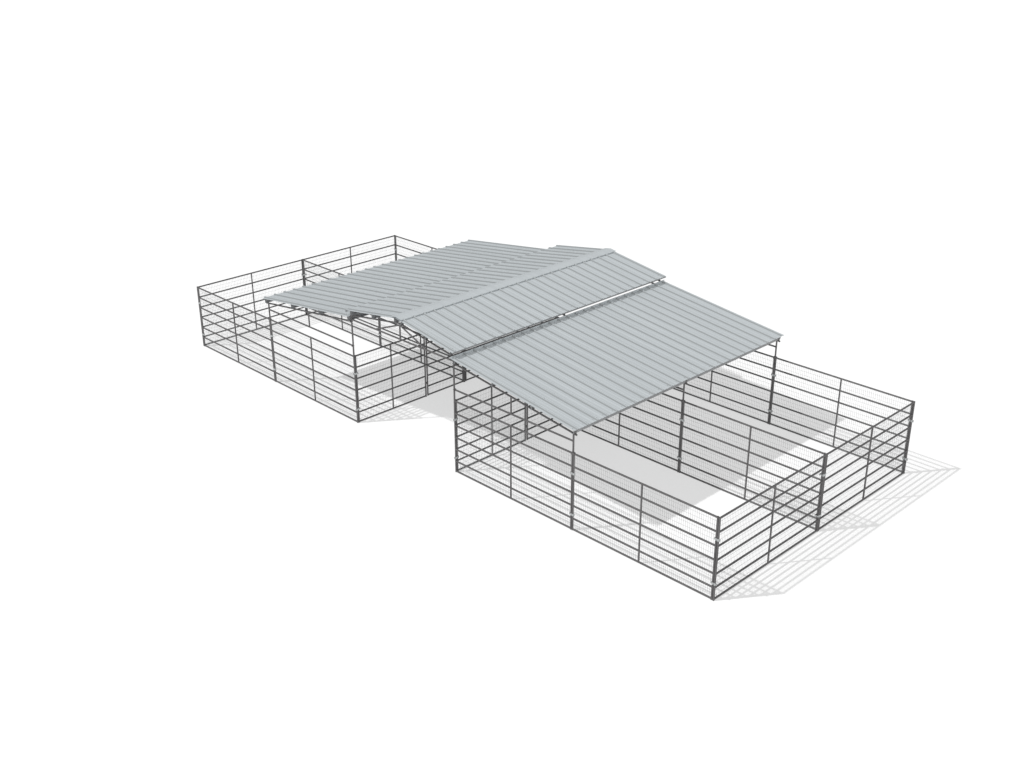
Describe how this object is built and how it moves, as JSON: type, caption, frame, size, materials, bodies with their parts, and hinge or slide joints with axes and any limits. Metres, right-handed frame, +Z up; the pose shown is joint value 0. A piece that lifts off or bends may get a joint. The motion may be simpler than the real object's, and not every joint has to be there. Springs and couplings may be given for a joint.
{
  "type": "mare motel",
  "caption": "Steel horse shelter: a raised gable over an aisle, lower roofs over stalls on both sides, and open runs of mesh rail panels beyond them.",
  "frame": {"origin": "on the ground in the middle of the aisle, halfway between both end trusses", "axes": "+X across the ridge, towards one pair of runs; +Y along the ridge and the aisle; +Z up"},
  "size_m": [18.4376, 7.5052, 3.3605],
  "materials": {
    "tube_steel": "dark grey, satin",
    "purlin_steel": "mid grey, satin",
    "roof_steel": "light grey coated sheet",
    "zinc_steel": "zinc plated, dull"
  },
  "bodies": {
    "structure": {"panel_right_near_stall": "tube_steel", "panel_right_near_run": "tube_steel", "panel_right_middle_stall": "tube_steel", "panel_right_middle_run": "tube_steel", "panel_right_far_stall": "tube_steel", "panel_right_far_run": "tube_steel", "panel_left_near_stall": "tube_steel", "panel_left_near_run": "tube_steel", "panel_left_middle_stall": "tube_steel", "panel_left_middle_run": "tube_steel", "panel_left_far_stall": "tube_steel", "panel_left_far_run": "tube_steel", "end_panel_right_near": "tube_steel", "end_panel_right_far": "tube_steel", "end_panel_left_near": "tube_steel", "end_panel_left_far": "tube_steel", "front_panel_right_near": "tube_steel", "front_panel_right_far": "tube_steel", "front_panel_left_near": "tube_steel", "front_panel_left_far": "tube_steel", "low_truss_right_near": "tube_steel", "low_truss_right_middle": "tube_steel", "low_truss_right_far": "tube_steel", "low_truss_left_near": "tube_steel", "low_truss_left_middle": "tube_steel", "low_truss_left_far": "tube_steel", "gable_truss_near": "tube_steel", "gable_truss_middle": "tube_steel", "gable_truss_far": "tube_steel", "low_purlin_right_1": "purlin_steel", "low_purlin_right_2": "purlin_steel", "low_purlin_right_3": "purlin_steel", "low_purlin_right_4": "purlin_steel", "low_purlin_left_1": "purlin_steel", "low_purlin_left_2": "purlin_steel", "low_purlin_left_3": "purlin_steel", "low_purlin_left_4": "purlin_steel", "gable_purlin_right_1": "purlin_steel", "gable_purlin_right_2": "purlin_steel", "gable_purlin_right_3": "purlin_steel", "gable_purlin_left_1": "purlin_steel", "gable_purlin_left_2": "purlin_steel", "gable_purlin_left_3": "purlin_steel", "low_roof_sheets_right": "roof_steel", "low_roof_sheets_left": "roof_steel", "gable_roof_sheets_right": "roof_steel", "gable_roof_sheets_left": "roof_steel", "ridge_cap": "roof_steel", "latch_keeper_right": "zinc_steel", "latch_keeper_left": "zinc_steel"},
    "gate_right_near": {"gate_right_near": "tube_steel"},
    "gate_right_far": {"gate_right_far": "tube_steel"},
    "gate_left_near": {"gate_left_near": "tube_steel"},
    "gate_left_far": {"gate_left_far": "tube_steel"},
    "latch_bolt_right_near": {"latch_bolt_right_near": "zinc_steel"},
    "latch_bolt_right_far": {"latch_bolt_right_far": "zinc_steel"},
    "latch_bolt_left_near": {"latch_bolt_left_near": "zinc_steel"},
    "latch_bolt_left_far": {"latch_bolt_left_far": "zinc_steel"}
  },
  "joints": [
    {"name": "gate_right_near_hinge", "type": "hinge", "parent": "structure", "child": "gate_right_near", "pos_m": [1.84944, -1.34489, 0.9], "axis": [0, 0, 1], "range_deg": [-90, 90]},
    {"name": "gate_right_far_hinge", "type": "hinge", "parent": "structure", "child": "gate_right_far", "pos_m": [1.84944, 1.34489, 0.9], "axis": [0, 0, 1], "range_deg": [-90, 90]},
    {"name": "gate_left_near_hinge", "type": "hinge", "parent": "structure", "child": "gate_left_near", "pos_m": [-1.84944, -1.34489, 0.9], "axis": [0, 0, 1], "range_deg": [-90, 90]},
    {"name": "gate_left_far_hinge", "type": "hinge", "parent": "structure", "child": "gate_left_far", "pos_m": [-1.84944, 1.34489, 0.9], "axis": [0, 0, 1], "range_deg": [-90, 90]},
    {"name": "latch_bolt_right_near_slide", "type": "slide", "parent": "gate_right_near", "child": "latch_bolt_right_near", "axis": [0, 1, 0], "range_m": [0, 0.034]},
    {"name": "latch_bolt_right_far_slide", "type": "slide", "parent": "gate_right_far", "child": "latch_bolt_right_far", "axis": [0, -1, 0], "range_m": [0, 0.034]},
    {"name": "latch_bolt_left_near_slide", "type": "slide", "parent": "gate_left_near", "child": "latch_bolt_left_near", "axis": [0, 1, 0], "range_m": [0, 0.034]},
    {"name": "latch_bolt_left_far_slide", "type": "slide", "parent": "gate_left_far", "child": "latch_bolt_left_far", "axis": [0, -1, 0], "range_m": [0, 0.034]}
  ]
}
